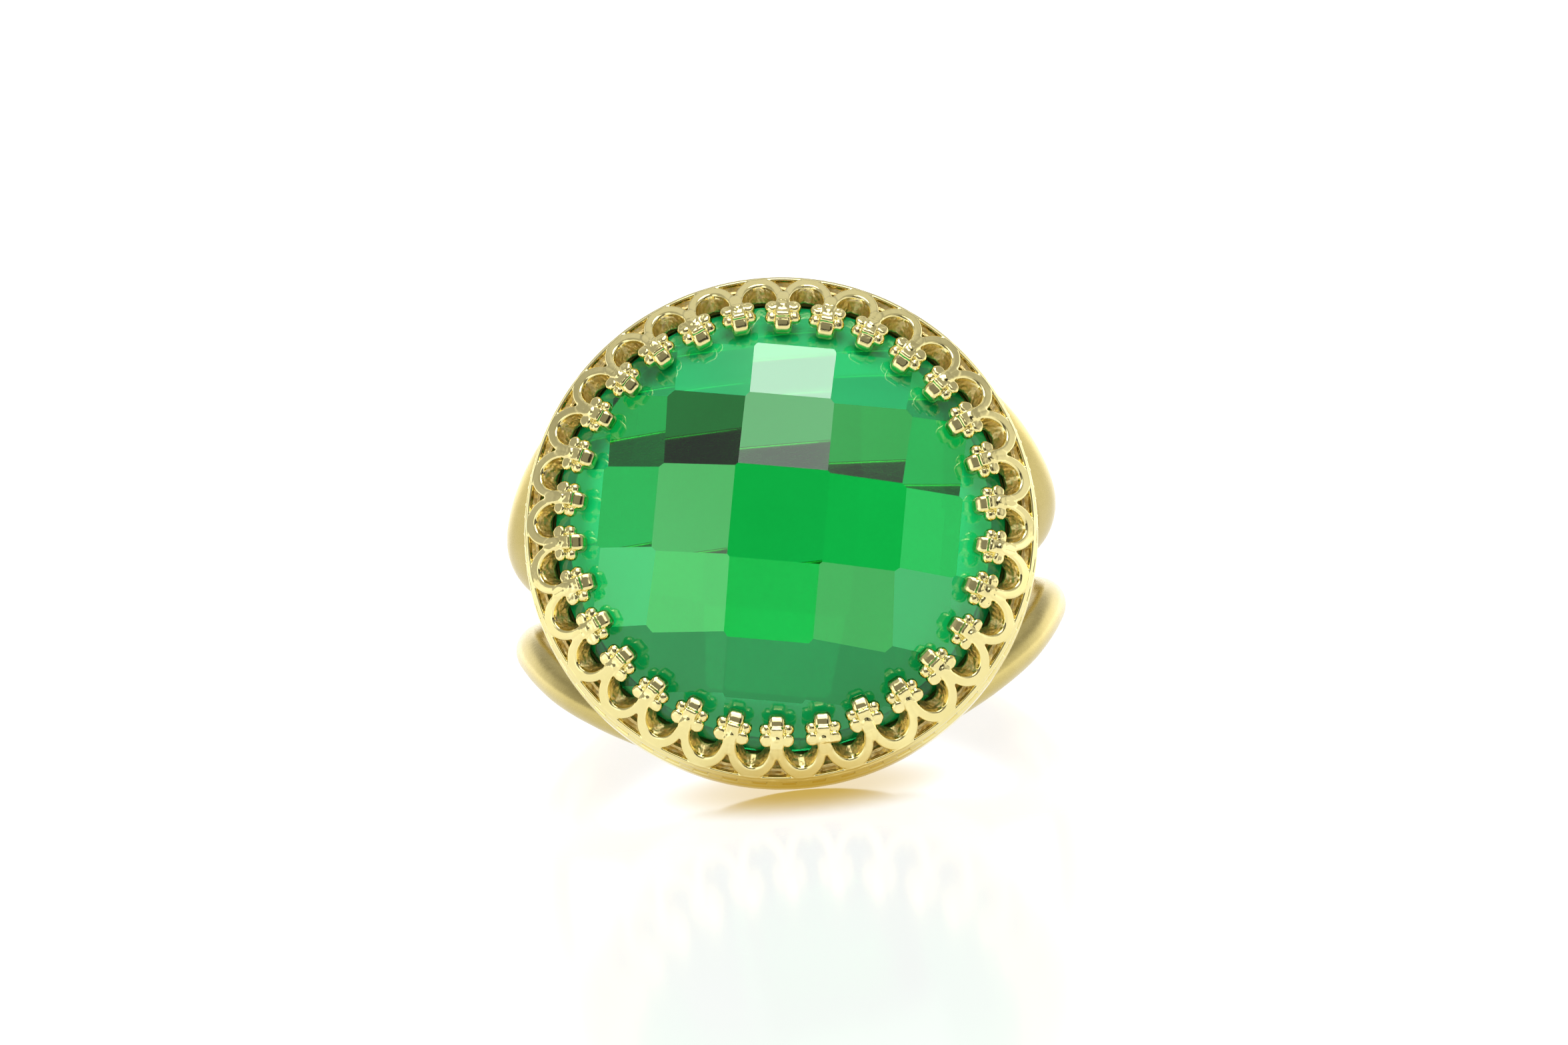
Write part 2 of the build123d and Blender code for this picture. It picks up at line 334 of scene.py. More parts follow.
def build_gallery():
    r, th, z, quads, n = sector_mesh()
    rnd = np.random.RandomState(21)
    verts, attrs = [], []
    v = (r - SILL_R) * LEAN_V[0] + (z - SILL_Z) * LEAN_V[1]
    nn = (r - SILL_R) * LEAN_N[0] + (z - SILL_Z) * LEAN_N[1]
    # mask of the inward faces round the bowls: rougher cast metal there, and painted shade in the gold's colour
    rough = step(0.10, 0.22, -nn) * step(SILL_Z - 0.42, SILL_Z - 0.3, z) * step(7.85, 8.05, r)
    grip = step(8.12, 7.95, r) * step(11.6, 11.75, z)          # how far a vertex belongs to its finial
    for s in range(N_ARCH):
        turn, tip, slide, size, tall = rnd.normal(0, 1, 5)
        x, y, zz = r * np.sin(th), r * np.cos(th), z.copy()
        # each finial was pushed over the stone by hand
        a = math.radians(2.6) * turn * grip
        px, py = x, y - 7.95
        x2, y2 = px * np.cos(a) - py * np.sin(a), px * np.sin(a) + py * np.cos(a) + 7.95
        g = 1 + 0.018 * size * grip
        x2, y2 = x2 * g, 7.95 + (y2 - 7.95) * g
        y2 = y2 + 0.025 * slide * grip
        zz = zz + grip * (0.03 * tip + abs(0.01 * tall)) * np.clip((7.95 - y2) / 1.1, 0, 1)
        zz = np.where(grip > 0, np.maximum(zz, (DOME_APEX - (x2 * x2 + y2 * y2) / (2 * DOME_RHO)) + 0.008), zz)
        phi = PI / 2 + (s + 0.5) * PITCH
        c, si = math.cos(phi), math.sin(phi)
        # outward is (c, si), along the rim is (-si, c)
        X = y2 * c - x2 * si
        Y = y2 * si + x2 * c
        verts.append(np.stack([X, Y, zz], 1))
    P = np.concatenate(verts)
    rough_and_shade_all = np.tile(rough, N_ARCH)
    # the sector's th runs with the angle, so cell shifts point to the sector before
    faces = np.concatenate([(quads + s * n) % (n * N_ARCH) for s in range(N_ARCH)])[:, ::-1].copy()
    # cast texture
    me_n = None
    ob = make_mesh("lace_gallery", P, faces)
    me = ob.data
    nrm = np.empty(len(me.vertices) * 3, np.float32)
    me.vertices.foreach_get("normal", nrm)
    nrm = nrm.reshape(-1, 3)
    big = noise3(P, 2.2) * 0.5 + noise3(P, 5.0) * 0.35
    fine = noise3(P + 3.3, 9.0) * 0.6 + noise3(P + 9.1, 16.0) * 0.4
    petals = np.tile(grip * step(7.20, 7.45, r), N_ARCH)
    disp = 0.004 * big + rough_and_shade_all * (0.026 * fine + 0.012 * big) + (1 - rough_and_shade_all) * 0.0012 * fine + petals * 0.012 * fine
    # raised dashes in the channel round the band, with a bright stud at each end
    rad, ang = np.hypot(P[:, 0], P[:, 1]), np.arctan2(P[:, 1], P[:, 0]) + PI / 2
    part = np.abs((ang * N_DASH / (2 * PI) + 0.5) % 1.0 - 0.5) * 2 * PI * 9.1 / N_DASH
    zc = P[:, 2] - (HEAD_Z + 1.02)
    outside = step(RIM_R - 0.16, RIM_R - 0.14, rad)
    dash = step(0.305, 0.265, part) * step(0.135, 0.095, np.abs(zc))
    stud = step(0.09, 0.02, np.hypot(part - 0.225, zc))
    disp = disp + outside * (0.088 * dash + 0.022 * stud)
    P = P + nrm * disp[:, None]
    me.vertices.foreach_set("co", (P * MM).ravel())
    me.update()
    # the 'rough' attribute drives both the roughness of the hollows and their painted shade
    add_attr(ob, "rough", rough_and_shade_all)
    add_attr(ob, "bead", np.tile(grip, N_ARCH))
    return ob


gallery_ob = build_gallery()
print("gallery", len(gallery_ob.data.vertices), len(gallery_ob.data.polygons))
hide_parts("crown_gallery")
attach(gallery_ob, BODY)


# ---------------------------------------------------------------- stone
def cut_corner(i, j):
    x = (CUT_LINE[abs(i)] - CUT_BOW[abs(j)]) * (1 if i > 0 else -1)
    y = (CUT_LINE[abs(j)] - CUT_BOW[abs(i)]) * (1 if j > 0 else -1)
    c, s = math.cos(CUT_TURN), math.sin(CUT_TURN)
    return np.array([x * c - y * s, x * s + y * c, DOME_APEX - (x * x + y * y) / (2 * DOME_RHO)])


def clip_poly(poly, n, d):
    out = []
    m = len(poly)
    dist = [p @ n - d for p in poly]
    for a in range(m):
        p, q, dp, dq = poly[a], poly[(a + 1) % m], dist[a], dist[(a + 1) % m]
        if dp <= 1e-9:
            out.append(p)
        if (dp < -1e-9 and dq > 1e-9) or (dp > 1e-9 and dq < -1e-9):
            out.append(p + (q - p) * (dp / (dp - dq)))
    return out


def build_stone():
    planes = []                                    # normal, offset, kind
    for i in range(-3, 4):
        for j in range(-3, 4):
            if abs(i) + abs(j) > 5:
                continue
            p, q = cut_corner(i - 0.5, j - 0.5), cut_corner(i + 0.5, j - 0.5)
            r, s = cut_corner(i + 0.5, j + 0.5), cut_corner(i - 0.5, j + 0.5)
            n = np.cross(r - p, s - q); n /= np.linalg.norm(n)
            planes.append((n, n @ ((p + q + r + s) / 4), (i, j)))
    run, drop, N = STONE_R - CULET_R, GIRDLE_LOW - CULET_Z, 24
    for k in range(N):
        a = 2 * PI * (k + 0.5) / N
        n = np.array([drop * math.cos(a), drop * math.sin(a), -run]); n /= np.linalg.norm(n)
        rr = STONE_R * math.cos(PI / N)
        planes.append((n, n @ np.array([rr * math.cos(a), rr * math.sin(a), GIRDLE_LOW]), "pavilion"))
    planes.append((np.array([0, 0, -1.0]), -CULET_Z, "culet"))
    G = 240
    for k in range(G):
        a = 2 * PI * (k + 0.5) / G
        n = np.array([math.cos(a), math.sin(a), 0])
        planes.append((n, STONE_R * math.cos(PI / G), "girdle"))
    verts, faces, kinds = [], [], []
    index = {}
    N_ = np.array([p[0] for p in planes]); D_ = np.array([p[1] for p in planes])
    for a, (n, d, kind) in enumerate(planes):
        u = np.cross(n, [0, 0, 1.0] if abs(n[2]) < 0.9 else [1.0, 0, 0]); u /= np.linalg.norm(u)
        w = np.cross(n, u)
        c = n * d
        poly = [c + 30 * (su * u + sw * w) for su, sw in ((1, 1), (-1, 1), (-1, -1), (1, -1))]
        if np.cross(poly[1] - poly[0], poly[2] - poly[1]) @ n < 0:
            poly = poly[::-1]
        for b in range(len(planes)):
            if b == a:
                continue
            poly = clip_poly(poly, N_[b], D_[b])
            if len(poly) < 3:
                break
        if len(poly) < 3:
            continue
        face = []
        for p in poly:
            key = tuple(np.round(p / 2e-4).astype(int))
            hit = None
            for dx in (-1, 0, 1):
                for dy in (-1, 0, 1):
                    for dz in (-1, 0, 1):
                        hit = index.get((key[0] + dx, key[1] + dy, key[2] + dz))
                        if hit is not None:
                            break
                    if hit is not None:
                        break
                if hit is not None:
                    break
            if hit is None:
                hit = len(verts); verts.append(p); index[key] = hit
            if not face or face[-1] != hit:
                face.append(hit)
        if len(face) > 1 and face[0] == face[-1]:
            face.pop()
        if len(face) >= 3:
            faces.append(face); kinds.append(kind)
    ob = make_mesh("checkerboard_stone", np.array(verts), faces, smooth=False)
    me = ob.data
    sm = np.array([k == "girdle" for k in kinds])
    me.polygons.foreach_set("use_smooth", sm)
    # the outer facets are milkier than the middle ones; the lowest rows get painted shade that darkens their colour
    milk, deep, dull = [], [], []
    for k in kinds:
        if not isinstance(k, tuple):
            milk.append(0.3 if k == "girdle" else 0.0); deep.append(0.0); dull.append(0.0); continue
        i, j = k
        ring = max(abs(i), abs(j))
        m_ = {0: 0.0, 1: 0.0, 2: 0.66, 3: 0.88}[ring]
        if (i, j) in ((-2, 0), (-2, 1), (2, 1), (2, 0)):
            m_ = 0.22
        if (i, j) == (0, 1):
            m_ = 0.06
        if j == 2 and abs(i) == 1:
            m_ = 0.85
        milk.append(m_)
        # deep: painted shade, darkening the colour of the lowest rows and of facet (-1, 1)
        deep.append({-1: 0.27, -2: 0.76, -3: 0.60}.get(j, 0.0) if (i, j) != (-1, 1) else 0.90)
        dull.append({-2: 0.95, -3: 0.50}.get(j, 0.0))
    for nm, vals in (("milk", milk), ("deep", deep), ("dull", dull)):
        a_ = me.attributes.new(nm, "FLOAT", "FACE")
        a_.data.foreach_set("value", np.asarray(vals, np.float32))
    # facets stay flat; only the girdle is round
    bm = bmesh.new(); bm.from_mesh(me)
    bm.faces.ensure_lookup_table()
    for e in bm.edges:
        e.smooth = all(kinds[f.index] == "girdle" for f in e.link_faces)
    bm.to_mesh(me); bm.free()
    return ob, kinds


stone_ob, stone_kinds = build_stone()
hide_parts("stone")
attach(stone_ob, BODY)


# ---------------------------------------------------------------- turned rings
def lathe(name, profile, segs=288):
    """A ring turned from a closed (r, z) profile, listed anticlockwise seen with r to the right and z up."""
    m = len(profile)
    a = np.arange(segs) * 2 * PI / segs
    verts = np.concatenate([np.stack([p[0] * np.cos(a), p[0] * np.sin(a), np.full(segs, p[1])], 1) for p in profile])
    faces = []
    for k in range(m):
        k2 = (k + 1) % m
        i = np.arange(segs); i2 = (i + 1) % segs
        faces.append(np.stack([k * segs + i, k * segs + i2, k2 * segs + i2, k2 * segs + i], 1))
    return make_mesh(name, verts, np.concatenate(faces))


def rounded(profile, rad, steps=4):
    """The closed profile with each corner replaced by a small arc."""
    out = []
    n = len(profile)
    P = [np.array(p, float) for p in profile]
    for k in range(n):
        a, b, c = P[k - 1], P[k], P[(k + 1) % n]
        u, w = a - b, c - b
        lu, lw = np.linalg.norm(u), np.linalg.norm(w)
        t = min(rad, lu * 0.45, lw * 0.45)
        p0, p1 = b + u / lu * t, b + w / lw * t
        for s in range(steps + 1):
            f = s / steps
            out.append((1 - f) ** 2 * p0 + 2 * f * (1 - f) * b + f * f * p1)
    return out


seat_drop = (GIRDLE_LOW - CULET_Z) / (STONE_R - CULET_R)
SEAT_R = 7.30
bearing_ob = lathe("bearing_seat", rounded([
    (SEAT_R, seat_low[2]), (WALL_R - 0.004, seat_low[2]), (WALL_R - 0.004, seat_high[2]), (8.12, seat_high[2]),
    (8.12, GIRDLE_LOW), (STONE_R, GIRDLE_LOW - 0.004), (SEAT_R, GIRDLE_LOW - (STONE_R - SEAT_R) * seat_drop - 0.004)], 0.035))
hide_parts("bearing_band"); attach(bearing_ob, BODY)

BASE_HOLE_R = 7.00
base_ob = lathe("base_ring_plate", rounded([
    (BASE_HOLE_R, base_low[2]), (WALL_R - 0.004, base_low[2]), (WALL_R - 0.004, base_high[2] - 0.004), (BASE_HOLE_R, base_high[2] - 0.004)], 0.10))
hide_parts("base_ring"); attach(base_ob, BODY)

# ---------------------------------------------------------------- shank
SPREAD = [(-90, 0.82), (-75, 0.82), (-60, 0.82), (-45, 0.82), (-32, 0.87),
          (-22, 1.12), (-12, 1.42), (0, 1.90), (10, 2.42), (20, 3.20),
          (30, 4.10), (40, 4.96), (50, 5.79), (60, 6.58), (70, 7.26), (80, 7.62)]
BAND_W, BAND_SIDE, END_ANGLE = 1.64, 0.40, 76.0


def spread_at(angle):
    n = len(SPREAD)
    for k in range(n - 1):
        a0, y0 = SPREAD[k]
        a1, y1 = SPREAD[k + 1]
        if a0 <= angle <= a1:
            def slope(m):
                if m <= 0:
                    return 0.0
                if m >= n - 1:
                    return (SPREAD[m][1] - SPREAD[m - 1][1]) / (SPREAD[m][0] - SPREAD[m - 1][0])
                return (SPREAD[m + 1][1] - SPREAD[m - 1][1]) / (SPREAD[m + 1][0] - SPREAD[m - 1][0])
            h = a1 - a0
            s = (angle - a0) / h
            m0, m1 = slope(k) * h, slope(k + 1) * h
            return ((2 * s**3 - 3 * s**2 + 1) * y0 + (s**3 - 2 * s**2 + s) * m0
                    + (-2 * s**3 + 3 * s**2) * y1 + (s**3 - s**2) * m1)
    return SPREAD[-1][1]


def band_profile():
    """Half-round section: x across the band, y outwards from the finger hole."""
    half = BAND_W / 2
    # the arc through (half, BAND_SIDE) and (0, BAND_T)
    sag = BAND_T - BAND_SIDE
    R = (half * half + sag * sag) / (2 * sag)
    top = []
    a1 = math.asin(half / R)
    for k in range(19):
        a = a1 - 2 * a1 * k / 18
        top.append((R * math.sin(a), BAND_T - R + R * math.cos(a)))
    pts = [(-half, 0.0), (half, 0.0)] + top
    # round the inner corners, and soften where the dome meets the sides
    out = []
    P = [np.array(p, float) for p in pts]
    n = len(P)
    for k in range(n):
        if k in (0, 1):
            rad = 0.12
        elif k in (2, n - 1):
            rad = 0.07
        else:
            out.append(P[k]); continue
        a, b, c = P[k - 1], P[k], P[(k + 1) % n]
        u, w = a - b, c - b
        lu, lw = np.linalg.norm(u), np.linalg.norm(w)
        t0, t1 = min(rad, lu * 0.45), min(rad, lw * 0.45)
        for s in range(5):
            f = s / 4
            out.append((1 - f) ** 2 * (b + u / lu * t0) + 2 * f * (1 - f) * b + f * f * (b + w / lw * t1))
    # more points along the flat inside
    res = []
    for k in range(len(out)):
        a, b = out[k], out[(k + 1) % len(out)]
        res.append(a)
        L = np.linalg.norm(b - a)
        m = int(L / 0.16)
        for s in range(1, m + 1):
            res.append(a + (b - a) * s / (m + 1))
    return res


def build_band(name, ysign, node):
    prof = band_profile()
    last = 90 + END_ANGLE
    turns = np.linspace(-last, last, 321)
    rings = []
    for turn in turns:
        side = 1 if turn >= 0 else -1
        angle = abs(turn) - 90
        y = ysign * spread_at(angle)
        slope = ysign * side * (spread_at(min(angle + 0.5, 80)) - spread_at(max(angle - 0.5, -90))) / (math.radians(1.0) * (FINGER_R + BAND_T / 2))
        if abs(turn) < 0.6:
            slope = 0.0
        out = np.array([math.sin(math.radians(turn)), 0, -math.cos(math.radians(turn))])
        on = np.array([math.cos(math.radians(turn)), slope, math.sin(math.radians(turn))]); on /= np.linalg.norm(on)
        across = np.cross(out, on)
        ring = []
        for px, pr in prof:
            p = out * (FINGER_R + pr) + across * px + np.array([0, y, 0])
            rad = math.hypot(p[0], p[2])
            k = (FINGER_R + pr) / rad
            ring.append((p[0] * k, p[1], p[2] * k))
        rings.append(ring)
    m = len(prof)
    V = np.array(rings).reshape(-1, 3)
    faces = []
    for i in range(len(turns) - 1):
        for k in range(m):
            k2 = (k + 1) % m
            faces.append((i * m + k, i * m + k2, (i + 1) * m + k2, (i + 1) * m + k))
    faces.append(tuple(range(m - 1, -1, -1)))
    faces.append(tuple((len(turns) - 1) * m + k for k in range(m)))
    # neither band crosses the plane between them
    V[:, 1] = ysign * np.maximum(ysign * V[:, 1], 0.0015)
    # hand finishing: faint waviness of the outside
    rad = np.hypot(V[:, 0], V[:, 2])
    out = np.stack([V[:, 0] / rad, np.zeros(len(V)), V[:, 2] / rad], 1)
    w = step(FINGER_R + 0.35, FINGER_R + 0.9, rad)
    V = V - out * (w * (0.010 + 0.010 * noise3(V + 5 * ysign, 0.55) + 0.004 * noise3(V, 1.6)))[:, None]
    ob = make_mesh(name, V, faces)
    bm = bmesh.new(); bm.from_mesh(ob.data)
    bmesh.ops.recalc_face_normals(bm, faces=bm.faces)
    geom = bm.verts[:] + bm.edges[:] + bm.faces[:]
    r = bmesh.ops.bisect_plane(bm, geom=geom, plane_co=(0, 0, (HEAD_Z - 0.002) * MM), plane_no=(0, 0, 1), clear_outer=True)
    edges = [e for e in r["geom_cut"] if isinstance(e, bmesh.types.BMEdge)]
    bmesh.ops.contextual_create(bm, geom=edges)
    bmesh.ops.holes_fill(bm, edges=bm.edges, sides=0)
    bmesh.ops.recalc_face_normals(bm, faces=bm.faces)
    for f in bm.faces:
        f.smooth = True
    for e in bm.edges:
        if len(e.link_faces) == 2:
            e.smooth = e.calc_face_angle(0) < math.radians(38)
    bm.to_mesh(ob.data); bm.free()
    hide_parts(node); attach(ob, BODY)
    return ob


band_front = build_band("half_round_band_front", -1, "shank_band_front")
band_rear = build_band("half_round_band_rear", 1, "shank_band_rear")


# ---------------------------------------------------------------- materials
def new_mat(name):
    m = bpy.data.materials.new(name)
    m.use_nodes = True
    t = m.node_tree
    for n in list(t.nodes):
        t.nodes.remove(n)
    out = t.nodes.new("ShaderNodeOutputMaterial")
    b = t.nodes.new("ShaderNodeBsdfPrincipled")
    t.links.new(b.outputs[0], out.inputs[0])
    return m, t, b, out


def node(t, kind, **kw):
    n = t.nodes.new(kind)
    for k, v in kw.items():
        if k == "op":
            n.operation = v
        elif isinstance(k, str) and hasattr(n, k):
            setattr(n, k, v)
    return n


def math_node(t, op, a, b=None, clamp=False):
    n = t.nodes.new("ShaderNodeMath")
    n.operation = op
    n.use_clamp = clamp
    for i, v in enumerate((a, b)):
        if v is None:
            continue
        if isinstance(v, (int, float)):
            n.inputs[i].default_value = v
        else:
            t.links.new(v, n.inputs[i])
    return n.outputs[0]


def ramp(t, fac, stops):
    n = t.nodes.new("ShaderNodeValToRGB")
    t.links.new(fac, n.inputs[0])
    e = n.color_ramp.elements
    while len(e) > 1:
        e.remove(e[0])
    e[0].position = stops[0][0]; e[0].color = (*stops[0][1], 1)
    for pos, col in stops[1:]:
        x = e.new(pos); x.color = (*col, 1)
    return n.outputs[0]


def tex_noise(t, coord, scale, detail=3, rough=0.5, dist=0.0):
    n = t.nodes.new("ShaderNodeTexNoise")
    n.inputs["Scale"].default_value = scale
    n.inputs["Detail"].default_value = detail
    n.inputs["Roughness"].default_value = rough
    n.inputs["Distortion"].default_value = dist
    t.links.new(coord, n.inputs["Vector"])
    return n.outputs["Fac"]


def cast_gold():
    m, t, b, out = new_mat("cast_gold")
    geo = t.nodes.new("ShaderNodeTexCoord").outputs["Object"]
    at = t.nodes.new("ShaderNodeAttribute"); at.attribute_name = "rough"
    rough = at.outputs["Fac"]
    n1 = tex_noise(t, geo, 900, 4, 0.6)
    n2 = tex_noise(t, geo, 4200, 3, 0.6)
    n3 = tex_noise(t, geo, 9000, 2, 0.5)
    # colour: pale yellow gold, with painted shade in the unpolished hollows, darker and warmer there
    tone = math_node(t, "ADD", math_node(t, "MULTIPLY", n1, 0.35), math_node(t, "MULTIPLY", n2, 0.15))
    polished = ramp(t, tone, [(0.15, (0.84, 0.73, 0.31)), (0.40, (0.90, 0.79, 0.38))])
    hollow_painted_shade = ramp(t, n2, [(0.3, (0.66, 0.50, 0.20)), (0.7, (0.92, 0.77, 0.36))])
    mix = t.nodes.new("ShaderNodeMix"); mix.data_type = "RGBA"
    t.links.new(rough, mix.inputs["Factor"]); t.links.new(polished, mix.inputs["A"]); t.links.new(hollow_painted_shade, mix.inputs["B"])
    t.links.new(mix.outputs["Result"], b.inputs["Base Color"])
    b.inputs["Metallic"].default_value = 1.0
    rr = math_node(t, "ADD", math_node(t, "MULTIPLY", n2, 0.10), 0.07)
    rr = math_node(t, "ADD", rr, math_node(t, "MULTIPLY", rough, 0.26))
    t.links.new(rr, b.inputs["Roughness"])
    bump = t.nodes.new("ShaderNodeBump")
    bump.inputs["Distance"].default_value = 0.00002
    h = math_node(t, "ADD", math_node(t, "MULTIPLY", n2, math_node(t, "ADD", math_node(t, "MULTIPLY", rough, 1.6), 0.10)),
                  math_node(t, "MULTIPLY", n3, 0.10))
    t.links.new(h, bump.inputs["Height"])
    bump.inputs["Strength"].default_value = 0.6
    t.links.new(bump.outputs[0], b.inputs["Normal"])
    return m


def satin_gold():
    m, t, b, out = new_mat("satin_gold")
    tc = t.nodes.new("ShaderNodeTexCoord").outputs["Object"]
    sep = t.nodes.new("ShaderNodeSeparateXYZ"); t.links.new(tc, sep.inputs[0])
    # run round the finger: angle and width, for the brushing
    ang = math_node(t, "ARCTAN2", sep.outputs["X"], math_node(t, "MULTIPLY", sep.outputs["Z"], -1.0))
    rad = math_node(t, "POWER", math_node(t, "ADD", math_node(t, "MULTIPLY", sep.outputs["X"], sep.outputs["X"]),
                                        math_node(t, "MULTIPLY", sep.outputs["Z"], sep.outputs["Z"])), 0.5)
    comb = t.nodes.new("ShaderNodeCombineXYZ")
    t.links.new(math_node(t, "MULTIPLY", ang, 0.0022), comb.inputs["X"])
    t.links.new(sep.outputs["Y"], comb.inputs["Y"])
    t.links.new(rad, comb.inputs["Z"])
    brush = tex_noise(t, comb.outputs[0], 9000, 4, 0.65)
    n1 = tex_noise(t, tc, 350, 4, 0.6)
    n2 = tex_noise(t, tc, 5200, 3, 0.6)
    tone = math_node(t, "ADD", math_node(t, "MULTIPLY", n1, 0.6), math_node(t, "MULTIPLY", brush, 0.4))
    col = ramp(t, tone, [(0.30, (0.53, 0.425, 0.140)), (0.65, (0.61, 0.500, 0.185))])
    # the inside of the band is painted a more orange gold: painted shade, the tint of the shaded inside mirroring
    # gold
    inner = math_node(t, "LESS_THAN", rad, (FINGER_R + 0.05) * MM)
    mix = t.nodes.new("ShaderNodeMix"); mix.data_type = "RGBA"
    t.links.new(inner, mix.inputs["Factor"]); t.links.new(col, mix.inputs["A"])
    mix.inputs["B"].default_value = (0.74, 0.54, 0.19, 1)
    t.links.new(mix.outputs["Result"], b.inputs["Base Color"])
    b.inputs["Metallic"].default_value = 1.0
    rr = math_node(t, "ADD", math_node(t, "MULTIPLY", brush, 0.20), 0.16)
    t.links.new(rr, b.inputs["Roughness"])
    bump = t.nodes.new("ShaderNodeBump")
    bump.inputs["Distance"].default_value = 0.00001
    bump.inputs["Strength"].default_value = 0.5
    t.links.new(math_node(t, "ADD", brush, math_node(t, "MULTIPLY", n2, 0.5)), bump.inputs["Height"])
    t.links.new(bump.outputs[0], b.inputs["Normal"])
    return m


def green_glass():
    m, t, b, out = new_mat("green_stone")
    tc = t.nodes.new("ShaderNodeTexCoord").outputs["Object"]
    milk = t.nodes.new("ShaderNodeAttribute"); milk.attribute_name = "milk"
    deep = t.nodes.new("ShaderNodeAttribute"); deep.attribute_name = "deep"
    n1 = tex_noise(t, tc, 160, 3, 0.5, 0.6)
    col = ramp(t, n1, [(0.3, (0.0016, 0.300, 0.036)), (0.7, (0.0028, 0.335, 0.046))])
    pale = ramp(t, n1, [(0.3, (0.010, 0.66, 0.200)), (0.7, (0.016, 0.78, 0.245))])
    mix = t.nodes.new("ShaderNodeMix"); mix.data_type = "RGBA"
    t.links.new(milk.outputs["Fac"], mix.inputs["Factor"]); t.links.new(col, mix.inputs["A"]); t.links.new(pale, mix.inputs["B"])
    # facets marked 'deep' are multiplied towards near-black: painted shade
    painted_facet_shade = t.nodes.new("ShaderNodeMix"); painted_facet_shade.data_type = "RGBA"; painted_facet_shade.blend_type = "MULTIPLY"
    t.links.new(deep.outputs["Fac"], painted_facet_shade.inputs["Factor"]); t.links.new(mix.outputs["Result"], painted_facet_shade.inputs["A"])
    painted_facet_shade.inputs["B"].default_value = (0.10, 0.12, 0.12, 1)
    t.links.new(painted_facet_shade.outputs["Result"], b.inputs["Base Color"])
    t.links.new(math_node(t, "SUBTRACT", 1.0, math_node(t, "MULTIPLY", milk.outputs["Fac"], 0.75)), b.inputs["Transmission Weight"])
    b.inputs["IOR"].default_value = 1.70
    dull = t.nodes.new("ShaderNodeAttribute"); dull.attribute_name = "dull"
    t.links.new(math_node(t, "SUBTRACT", 0.5, math_node(t, "MULTIPLY", dull.outputs["Fac"], 0.5)), b.inputs["Specular IOR Level"])
    n2 = tex_noise(t, tc, 2600, 3, 0.6)
    t.links.new(math_node(t, "MULTIPLY", n2, 0.02), b.inputs["Roughness"])
    return m


def seat_gold_painted_shade():
    """The unpolished metal of the seat, dull, and painted darker than the rest as shade under the stone."""
    m, t, b, out = new_mat("seat_gold_painted_shade")
    tc = t.nodes.new("ShaderNodeTexCoord").outputs["Object"]
    n1 = tex_noise(t, tc, 2400, 4, 0.6)
    # near-black gold colour: painted shade of the seat under the stone
    t.links.new(ramp(t, n1, [(0.3, (0.20, 0.14, 0.05)), (0.7, (0.36, 0.26, 0.10))]), b.inputs["Base Color"])
    b.inputs["Metallic"].default_value = 1.0
    t.links.new(math_node(t, "ADD", math_node(t, "MULTIPLY", n1, 0.2), 0.42), b.inputs["Roughness"])
    bump = t.nodes.new("ShaderNodeBump")
    bump.inputs["Distance"].default_value = 0.00002
    t.links.new(n1, bump.inputs["Height"])
    t.links.new(bump.outputs[0], b.inputs["Normal"])
    return m


gold = cast_gold()
seat_shade_gold = seat_gold_painted_shade()
satin = satin_gold()
glass = green_glass()
for ob, mt in ((gallery_ob, gold), (bearing_ob, seat_shade_gold), (base_ob, gold), (band_front, satin), (band_rear, satin), (stone_ob, glass)):
    ob.data.materials.clear(); ob.data.materials.append(mt)

# ---------------------------------------------------------------- stage
def points(*obs):
    out = []
    for ob in obs:
        co = np.empty(len(ob.data.vertices) * 3, np.float32)
        ob.data.vertices.foreach_get("co", co)
        out.append(co.reshape(-1, 3).astype(float))
    return np.concatenate(out)


# the ring lies on a table on the rim of its head and on the tail of its shank, the stone towards the camera
head_pts, tail_pts = points(gallery_ob), points(band_front)
tail_pts = tail_pts[tail_pts[:, 2] < 0]
lo_a, hi_a = math.radians(5), math.radians(40)
for _ in range(40):
    mid = (lo_a + hi_a) / 2
    nt = np.array([0, math.cos(mid), math.sin(mid)])
    if (head_pts @ nt).min() < (tail_pts @ nt).min():
        lo_a = mid
    else:
        hi_a = mid
TABLE_A = mid
e_up = Vector((0, math.cos(TABLE_A), math.sin(TABLE_A)))
e_front = Vector((0, -math.sin(TABLE_A), math.cos(TABLE_A)))
e_side = Vector((1, 0, 0))
table_h = float((head_pts @ nt).min()) - 0.00002
print("table angle", math.degrees(TABLE_A), "height", table_h)

bpy.ops.mesh.primitive_grid_add(x_subdivisions=4, y_subdivisions=4, size=3.0)
floor = bpy.context.object
floor.name = "table"
fm4 = Matrix((e_side, -e_front, e_up)).transposed().to_4x4()
fm4.translation = e_up * table_h
floor.matrix_world = fm4
mt, ft, fb, fo = new_mat("table_white")
fb.inputs["Base Color"].default_value = (0.12, 0.12, 0.12, 1)
fb.inputs["IOR"].default_value = 1.55
fb.inputs["Roughness"].default_value = 0.13
# it glows a little more for the ring than for the camera, and is dark towards the camera's own side
tpos = ft.nodes.new("ShaderNodeNewGeometry").outputs["Position"]


def along(vec):
    n = ft.nodes.new("ShaderNodeVectorMath"); n.operation = "DOT_PRODUCT"
    ft.links.new(tpos, n.inputs[0]); n.inputs[1].default_value = vec
    return n.outputs["Value"]


def fade(x, a, b):
    n = ft.nodes.new("ShaderNodeMapRange"); n.interpolation_type = "SMOOTHSTEP"
    ft.links.new(x, n.inputs["Value"])
    n.inputs["From Min"].default_value, n.inputs["From Max"].default_value = a, b
    return n.outputs["Result"]


